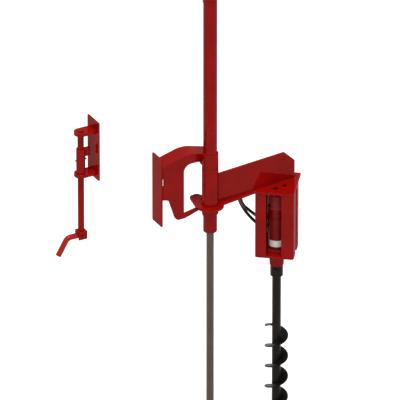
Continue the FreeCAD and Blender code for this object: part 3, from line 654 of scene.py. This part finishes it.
def washer(
    bm: bmesh.types.BMesh, place: Matrix, inner_mm: float, outer_mm: float, height_mm: float
) -> None:
    """Add a flat washer with softened rims to a mesh.

    Args:
        bm: mesh that takes the washer.
        place: matrix in metres whose Z is the washer's axis, at its lower face.
        inner_mm: radius of the hole.
        outer_mm: outer radius.
        height_mm: thickness.
    """
    part = bmesh.new()
    bmesh.ops.create_circle(part, segments=32, radius=outer_mm * MM)
    bmesh.ops.create_circle(part, segments=32, radius=inner_mm * MM)
    rims = list({edge for vert in part.verts for edge in vert.link_edges})
    bmesh.ops.bridge_loops(part, edges=rims)
    out = bmesh.ops.extrude_face_region(part, geom=list(part.faces))["geom"]
    lifted = [item for item in out if isinstance(item, bmesh.types.BMVert)]
    bmesh.ops.translate(part, verts=lifted, vec=(0, 0, height_mm * MM))
    bmesh.ops.recalc_face_normals(part, faces=part.faces)
    bevel(part, corners(part), WASHER_EDGE, 1)
    bmesh.ops.transform(part, matrix=place, verts=part.verts)
    held = bpy.data.meshes.new("washer_part")
    part.to_mesh(held)
    part.free()
    bm.from_mesh(held)
    bpy.data.meshes.remove(held)


# Places that the sub-assemblies share


@dataclass(frozen=True)
class Layout:
    """Axes and levels of the frame, in millimetres, as the CAD source has them."""

    axis_x: float = 262.0
    axis_y: float = -78.0
    base_z: float = -111.0
    drive_x: float = 653.006
    drive_y: float = -60.45
    cage_turn: float = -37.4

    def by_axis(self, x: float, y: float, z: float) -> Vector:
        """Return a point measured from the cylinder's axis at the arm's base."""
        return Vector((self.axis_x + x, self.axis_y + y, self.base_z + z))

    def by_drive(self, x: float, y: float, z: float) -> Vector:
        """Return a point in the cage's own directions, from the auger's axis."""
        turn = Matrix.Rotation(math.radians(self.cage_turn), 3, "Z")
        return Vector((self.drive_x, self.drive_y, self.base_z)) + turn @ Vector((x, y, z))

    def drive_frame(self, x: float, y: float, z: float) -> Matrix:
        """Return a matrix in metres at a point given in the cage's own directions."""
        turn = Matrix.Rotation(math.radians(self.cage_turn), 4, "Z")
        return Matrix.Translation(self.by_drive(x, y, z) * MM) @ turn


LAYOUT = Layout()


@dataclass
class MastBracket:
    """Mast plate with the C-shaped yoke and the two knuckles on the barrel."""

    web_front: float = -48.0
    web_back: float = -36.0
    plate_face: float = 10.0
    lower_bead: tuple[float, float] = (-41.0, 32.0)
    upper_bead: tuple[float, float] = (80.0, 132.0)

    def build(self) -> None:
        """Round the bracket's edges and weld its plates together."""
        for node in ("mast_plate", "yoke_web", "yoke_flange"):
            softened(node, PLATE_EDGE, Body.FRAME, Slot.RED, ENAMEL)
        for node in ("upper_knuckle", "lower_knuckle"):
            softened(node, TURNED_EDGE, Body.FRAME, Slot.RED, ENAMEL)
        paint_nodes(BRONZE, "thrust_washers")
        self.weld()

    def weld(self) -> None:
        """Lay the beads where the web meets the mast plate, above and below its slot."""
        face = self.plate_face
        for name, y in (("near", self.web_front), ("far", self.web_back)):
            for part, (low, high) in (("low", self.lower_bead), ("high", self.upper_bead)):
                weld_line(
                    f"web_weld_{name}_{part}",
                    Vector((face, y, low)),
                    Vector((face, y, high)),
                    Body.FRAME,
                )


@dataclass
class FeedCylinder:
    """Barrel with its cap, gland and ports, and the rod with its eye."""

    edge_mm: float = 2.0
    barrel_radius: float = 35.0
    bead_radius: float = 2.5
    upper_knuckle_top: float = 182.0
    lower_knuckle_foot: float = -160.0

    def build(self) -> None:
        """Round the barrel's ends and finish the rod."""
        softened("feed_barrel", self.edge_mm, Body.FRAME, Slot.RED, ENAMEL)
        softened("barrel_cap", self.edge_mm, Body.FRAME, Slot.RED, ENAMEL)
        softened("barrel_ports", FINE_EDGE, Body.FRAME, Slot.RED, ENAMEL)
        softened("rod_eye", TURNED_EDGE, Body.ROD, Slot.ROD, ROD)
        paint_nodes(ROD, "feed_rod")
        paint_nodes(SCALE, "piston", "rod_gland")
        paint_nodes(RUBBER, "piston_seal")
        for name, level in (("upper", self.upper_knuckle_top), ("lower", self.lower_knuckle_foot)):
            centre = Vector((LAYOUT.axis_x, LAYOUT.axis_y, level))
            weld_ring(f"knuckle_weld_{name}", centre, self.barrel_radius, Body.FRAME, self.bead_radius)


@dataclass
class SwingArm:
    """Sleeve round the barrel, base plate with its lock lug, and the upright web."""

    web_angle: float = 5.9
    web_half: float = 6.0
    web_reach: float = 505.0
    sleeve_radius: float = 42.0
    bead_radius: float = 3.0
    base_bead_radius: float = 3.5
    seam_top: float = 158.0
    seam_sink: float = 0.5

    def build(self) -> None:
        """Round the arm's edges and weld it together."""
        softened("swing_sleeve", TURNED_EDGE, Body.ARM, Slot.RED, ENAMEL)
        softened("arm_plate", PLATE_EDGE, Body.ARM, Slot.RED, ENAMEL)
        softened("arm_web", PLATE_EDGE, Body.ARM, Slot.RED, ENAMEL)
        paint_nodes(BRONZE, "sleeve_bushes")
        paint_nodes(BLACKED, "grease_nipple")
        base = LAYOUT.by_axis(0, 0, 0)
        weld_ring("sleeve_weld", base, self.sleeve_radius, Body.ARM, self.base_bead_radius)
        turn = Matrix.Rotation(math.radians(self.web_angle), 3, "Z")
        seam = self.sleeve_radius - self.seam_sink
        for name, side in (("near", -self.web_half), ("far", self.web_half)):
            start = base + turn @ Vector((self.sleeve_radius + self.bead_radius, side, 0))
            end = base + turn @ Vector((self.web_reach, side, 0))
            weld_line(f"arm_weld_{name}", start, end, Body.ARM)
            start = base + turn @ Vector((seam, side, self.bead_radius))
            end = base + turn @ Vector((seam, side, self.seam_top))
            weld_line(f"sleeve_seam_{name}", start, end, Body.ARM)


@dataclass
class MotorCage:
    """Two bent channels with windows, the floor between them and the top bolts."""

    half_width: float = 99.0
    half_depth: float = 86.5
    under_top: float = -12.0
    bolt_ring: float = 38.0
    washer_inner: float = 6.4
    washer_outer: float = 12.0
    washer_height: float = 1.6
    bead_margin: float = 14.0
    bead_radius: float = 2.5

    def build(self) -> None:
        """Round the cage, weld it under the arm and add washers to its bolts."""
        for node in ("cage_front", "cage_rear", "cage_bottom_plate"):
            softened(node, PLATE_EDGE, Body.ARM, Slot.RED, ENAMEL)
        softened("cage_top_bolts", FINE_EDGE, Body.ARM, Slot.BOLT, PAINTED_BOLT)
        self.washers()
        self.weld()

    def washers(self) -> None:
        """Put a washer under each of the two top bolts' heads."""
        bm = bmesh.new()
        ring = self.bolt_ring
        for x, y in ((ring, 0), (0, -ring)):
            place = LAYOUT.drive_frame(x, y, 0)
            washer(bm, place, self.washer_inner, self.washer_outer, self.washer_height)
        shade(bm)
        dress(new_object("cage_top_washers", bm), Body.ARM, Slot.BOLT, PAINTED_BOLT)

    def weld(self) -> None:
        """Lay the beads between the channels and the top plate."""
        reach = self.half_width - self.bead_margin
        for name, side in (("front", -1), ("rear", 1)):
            start = LAYOUT.by_drive(-reach, side * self.half_depth, self.under_top)
            end = LAYOUT.by_drive(reach, side * self.half_depth, self.under_top)
            weld_line(f"cage_top_weld_{name}", start, end, Body.ARM, self.bead_radius)


@dataclass
class Motor:
    """Orbital motor with its end cover, gear ring, housing, flange and bare tag."""

    tag_width: float = 62.0
    tag_height: float = 35.0
    tag_level: float = -313.0
    tag_gap: float = 0.02
    tag_top: float = 0.9
    housing_radius: float = 45.0
    cover_radius: float = 49.0
    plug_level: float = -98.0
    plug_bearing: float = 231.6
    plug_across: float = 16.0
    plug_length: float = 7.0
    plug_sink: float = 1.5
    plug_collar: float = 2.0
    plug_edge: float = 0.5
    hexagon_share: float = 0.9
    cover_edge: float = 1.0
    casting_edge: float = 2.0

    def build(self) -> None:
        """Dress the motor's castings, its screws and the bare tag."""
        softened("motor_end_cover", self.cover_edge, Body.ARM, Slot.MOTOR, LIT_MOTOR_ENAMEL)
        softened("motor_gear_ring", self.casting_edge, Body.ARM, Slot.MOTOR, SHADED_RING_ENAMEL)
        softened("motor_housing", self.casting_edge, Body.ARM, Slot.MOTOR, SHADED_HOUSING_ENAMEL)
        softened("motor_flange", TURNED_EDGE, Body.ARM, Slot.MOTOR, SHADED_HOUSING_ENAMEL)
        softened("motor_flange_bolts", FINE_EDGE, Body.ARM, Slot.BOLT, BLACKED)
        self.plug()
        self.tag()

    def plug(self) -> None:
        """Screw a blackened hexagon plug with a collar into the side of the end cover."""
        bm = bmesh.new()
        half = self.plug_across / 2
        point = half / math.cos(math.pi / 6) * self.hexagon_share
        for segments, radius, start, end in (
            (24, half, -self.plug_sink, self.plug_collar),
            (6, point, self.plug_collar, self.plug_length),
        ):
            bmesh.ops.create_cone(
                bm,
                cap_ends=True,
                segments=segments,
                radius1=radius * MM,
                radius2=radius * MM,
                depth=(end - start) * MM,
                matrix=Matrix.Translation((0, 0, (start + end) / 2 * MM)),
            )
        bevel(bm, corners(bm), self.plug_edge, 2)
        lie = Matrix.Rotation(math.pi / 2, 4, "Y")
        out = Matrix.Translation((self.cover_radius * MM, 0, 0))
        swing = Matrix.Rotation(math.radians(self.plug_bearing), 4, "Z")
        place = LAYOUT.drive_frame(0, 0, self.plug_level) @ swing @ out @ lie
        bmesh.ops.transform(bm, matrix=place, verts=bm.verts)
        shade(bm)
        dress(new_object("cover_plug", bm), Body.ARM, Slot.BOLT, BLACKED)

    def tag(self) -> None:
        """Wrap the bare white tag round the front of the housing."""
        half = math.asin(self.tag_width / 2 / self.housing_radius)
        bm = bmesh.new()
        ends = []
        for rise in (self.tag_gap, self.tag_top):
            spot = ((self.housing_radius + rise) * MM, 0, 0)
            ends += bmesh.ops.create_vert(bm, co=spot)["vert"]
        bm.edges.new(ends)
        bmesh.ops.rotate(bm, verts=bm.verts, matrix=Matrix.Rotation(-math.pi / 2 - half, 3, "Z"))
        bmesh.ops.spin(
            bm,
            geom=bm.verts[:] + bm.edges[:],
            cent=(0, 0, 0),
            axis=(0, 0, 1),
            angle=2 * half,
            steps=20,
            use_merge=False,
        )
        out = bmesh.ops.extrude_face_region(bm, geom=list(bm.faces))["geom"]
        lifted = [item for item in out if isinstance(item, bmesh.types.BMVert)]
        bmesh.ops.translate(bm, verts=lifted, vec=(0, 0, self.tag_height * MM))
        place = LAYOUT.drive_frame(0, 0, self.tag_level - self.tag_height / 2)
        bmesh.ops.transform(bm, matrix=place, verts=bm.verts)
        bmesh.ops.recalc_face_normals(bm, faces=bm.faces)
        shade(bm)
        dress(new_object("motor_tag", bm), Body.ARM, Slot.MOTOR, TAG)


@dataclass
class HoseRun:
    """Two hoses from the unions in the arm's plate to the motor's elbows."""

    radius: float = 8.0
    supply_length: float = 0.2437
    return_length: float = 0.206

    def build(self) -> None:
        """Lay both hoses on their routes and dress their ends."""
        softened("hose_bracket", PLATE_EDGE, Body.ARM, Slot.RED, ENAMEL)
        softened("hose_fittings", FINE_EDGE, Body.ARM, Slot.BOLT, PLATED)
        supply = [
            (0.465, 0.0, -0.143),
            (0.465, 0.0, -0.179),
            (0.5395, 0.015, -0.303),
            (0.58241, -0.01014, -0.34763),
        ]
        back = [
            (0.465, -0.024, -0.143),
            (0.465, -0.024, -0.179),
            (0.53221, 0.00547, -0.257),
            (0.58046, -0.01339, -0.30201),
        ]
        self.hose("supply_hose", supply, self.supply_length)
        self.hose("return_hose", back, self.return_length)

    def hose(self, node: str, points: list[tuple[float, float, float]], length: float) -> None:
        """Make one hose as a smooth spline with a round section.

        Args:
            node: CAD node that it stands for.
            points: route in metres, in the frame.
            length: real length of the hose in metres; not used.
        """
        curve = bpy.data.curves.new(node + "_line", "CURVE")
        curve.dimensions = "3D"
        curve.resolution_u = 16
        curve.bevel_depth = self.radius * MM
        curve.bevel_resolution = 6
        curve.use_fill_caps = True
        spline = curve.splines.new("NURBS")
        spline.points.add(len(points) - 1)
        for point, place in zip(spline.points, points):
            point.co = (*place, 1.0)
        spline.order_u = 3
        spline.use_endpoint_u = True
        made = bpy.data.objects.new(node + "_line", curve)
        bpy.context.scene.collection.objects.link(made)
        dress(made, Body.ARM, Slot.HOSE, HOSE, node)


@dataclass
class Spindle:
    """Hub under the cage, its bearings, the motor's shaft and the coupling."""

    hub_top: float = -375.0
    hub_radius: float = 39.0

    def build(self) -> None:
        """Dress the hub and the coupling and weld the hub to the cage."""
        softened("spindle_hub", TURNED_EDGE, Body.ARM, Slot.RED, ENAMEL)
        paint_nodes(BLACKED, "spindle_bearings", "motor_shaft")
        softened("drive_coupling", TURNED_EDGE, Body.AUGER, Slot.DARK, SCALE)
        softened("coupling_bolt", FINE_EDGE, Body.AUGER, Slot.BOLT, BLACKED)
        weld_ring("hub_weld", LAYOUT.by_drive(0, 0, self.hub_top), self.hub_radius, Body.ARM)


@dataclass
class Auger:
    """Shaft, flight, point and teeth."""

    tooth_edge: float = 1.0

    def build(self) -> None:
        """Dress the auger in mill scale and its teeth in blackened steel."""
        paint_nodes(SCALE, "auger_shaft", "pilot_point")
        paint_nodes(SHADED_FLIGHT_SCALE, "auger_flight")
        softened("cutter_teeth", self.tooth_edge, Body.AUGER, Slot.BOLT, BLACKED)


@dataclass
class Latch:
    """Separate latch: plate, lugs, rod with its sleeve, clevis and cranked handle."""

    bar_edge: float = 1.0
    handle_edge: float = 2.5
    plate_face: float = -359.0
    lug_half: float = 33.0
    bead_radius: float = 2.5
    upper_lug: tuple[float, float] = (423.5, 441.5)
    lower_lug: tuple[float, float] = (190.0, 208.0)

    def build(self) -> None:
        """Round the latch's edges and weld its lugs to the plate."""
        for node in ("latch_plate", "latch_lugs"):
            softened(node, PLATE_EDGE, Body.FRAME, Slot.RED, ENAMEL)
        for node in ("latch_rod", "latch_sleeve", "latch_clevis"):
            softened(node, self.bar_edge, Body.LATCH, Slot.RED, ENAMEL)
        softened("latch_handle", self.handle_edge, Body.LATCH, Slot.RED, HIGHLIT_HANDLE_ENAMEL)
        softened("handle_bolt", FINE_EDGE, Body.LATCH, Slot.BOLT, ENAMEL)
        paint_nodes(ENAMEL, "latch_cross_pin")
        self.weld()

    def weld(self) -> None:
        """Lay the beads where the lugs meet the plate."""
        for name, (low, high) in (("upper", self.upper_lug), ("lower", self.lower_lug)):
            for side, level in (("under", low), ("over", high)):
                start = Vector((self.plate_face, -self.lug_half, level))
                end = Vector((self.plate_face, self.lug_half, level))
                weld_line(f"lug_weld_{name}_{side}", start, end, Body.FRAME, self.bead_radius)


@dataclass
class Studio:
    """Camera at the photograph's angle, one soft lamp, a pale floor and a white world.

    Lengths and places are in millimetres.
    """

    right: Vector = field(default_factory=lambda: Vector((0.8805, -0.4741, 0.0)))
    up: Vector = field(default_factory=lambda: Vector((0.2252, 0.4182, 0.880)))
    target: Vector = field(default_factory=lambda: Vector((179.7, -124.0, -44.4)))
    view_width: float = 2000.0
    lens: float = 1000.0
    sensor: float = 36.0
    floor_level: float = -1600.0
    key_strength: float = 2.0
    key_angle: float = 25.0
    key_aim: tuple[float, float, float] = (0.15, 0.25, -1.0)
    floor_glow: float = 0.6
    world_light: float = 0.35
    world_seen: float = 0.65

    def build(self) -> None:
        """Make the camera, the lamp, the floor and the world."""
        self.camera()
        self.lamp()
        self.floor()
        self.world()

    def camera(self) -> None:
        """Make the camera that matches the photograph's frame."""
        data = bpy.data.cameras.new("camera")
        data.lens = self.lens
        data.sensor_width = self.sensor
        data.clip_start = 1.0
        data.clip_end = 300.0
        made = bpy.data.objects.new("camera", data)
        bpy.context.scene.collection.objects.link(made)
        right = self.right.normalized()
        back = right.cross(self.up).normalized()
        up = back.cross(right)
        distance = self.view_width * self.lens / self.sensor
        turn = Matrix((right, up, back)).transposed().to_4x4()
        made.matrix_world = Matrix.Translation((self.target + back * distance) * MM) @ turn
        bpy.context.scene.camera = made

    def lamp(self) -> None:
        """Make a broad key lamp high above and a little in front."""
        data = bpy.data.lights.new("key", "SUN")
        data.energy = self.key_strength
        data.angle = math.radians(self.key_angle)
        made = bpy.data.objects.new("key", data)
        made.matrix_world = Vector(self.key_aim).to_track_quat("-Z", "Y").to_matrix().to_4x4()
        bpy.context.scene.collection.objects.link(made)

    def floor(self) -> None:
        """Lay a pale floor that shows white and keeps a soft shadow."""
        bm = bmesh.new()
        bmesh.ops.create_grid(bm, x_segments=1, y_segments=1, size=60.0)
        bmesh.ops.translate(bm, verts=bm.verts, vec=(0, 0, self.floor_level * MM))
        made = new_object("floor", bm)
        paint = bpy.data.materials.new("matt_white_floor")
        paint.use_nodes = True
        tree = paint.node_tree
        tree.nodes.clear()
        matt = add_node(tree, "ShaderNodeBsdfDiffuse", {"Color": linear("#E6E6E4")})
        seen = self.seen(tree, self.floor_glow)
        glow = add_node(tree, "ShaderNodeEmission", None, {"Strength": seen})
        both = add_node(
            tree, "ShaderNodeAddShader", None, {0: matt.outputs[0], 1: glow.outputs[0]}
        )
        add_node(tree, "ShaderNodeOutputMaterial", None, {"Surface": both.outputs[0]})
        made.data.materials.append(paint)

    def seen(self, tree: bpy.types.NodeTree, strength: float) -> bpy.types.NodeSocket:
        """Return a strength for camera, glossy and transmission rays, and none for others.

        Args:
            tree: node tree that takes the nodes.
            strength: strength for those rays.

        Returns:
            The socket that carries it.
        """
        rays = add_node(tree, "ShaderNodeLightPath").outputs
        pair = add_node(
            tree,
            "ShaderNodeMath",
            {"operation": "MAXIMUM"},
            {0: rays["Is Camera Ray"], 1: rays["Is Glossy Ray"]},
        )
        every = add_node(
            tree,
            "ShaderNodeMath",
            {"operation": "MAXIMUM"},
            {0: pair.outputs[0], 1: rays["Is Transmission Ray"]},
        )
        return add_node(
            tree,
            "ShaderNodeMath",
            {"operation": "MULTIPLY", 1: strength},
            {0: every.outputs[0]},
        ).outputs[0]

    def world(self) -> None:
        """Light the scene from all round, and show white behind it."""
        made = bpy.data.worlds.new("studio")
        bpy.context.scene.world = made
        made.use_nodes = True
        tree = made.node_tree
        tree.nodes.clear()
        extra = self.seen(tree, self.world_seen)
        level = add_node(
            tree, "ShaderNodeMath", {"operation": "ADD", 1: self.world_light}, {0: extra}
        )
        back = add_node(
            tree,
            "ShaderNodeBackground",
            {"Color": linear("#FFFFFF")},
            {"Strength": level.outputs[0]},
        )
        add_node(tree, "ShaderNodeOutputWorld", None, {"Surface": back.outputs[0]})


def main() -> None:
    """Build the sub-assemblies in order."""
    logging.basicConfig(level=logging.INFO, format="%(name)s %(message)s")
    bpy.context.scene.view_settings.view_transform = "Standard"
    parts = (
        Studio(),
        HoseRun(),
        MastBracket(),
        FeedCylinder(),
        SwingArm(),
        MotorCage(),
        Motor(),
        Spindle(),
        Auger(),
        Latch(),
    )
    for part in parts:
        part.build()
        LOG.info("built %s", type(part).__name__)


if __name__ == "__main__":
    main()
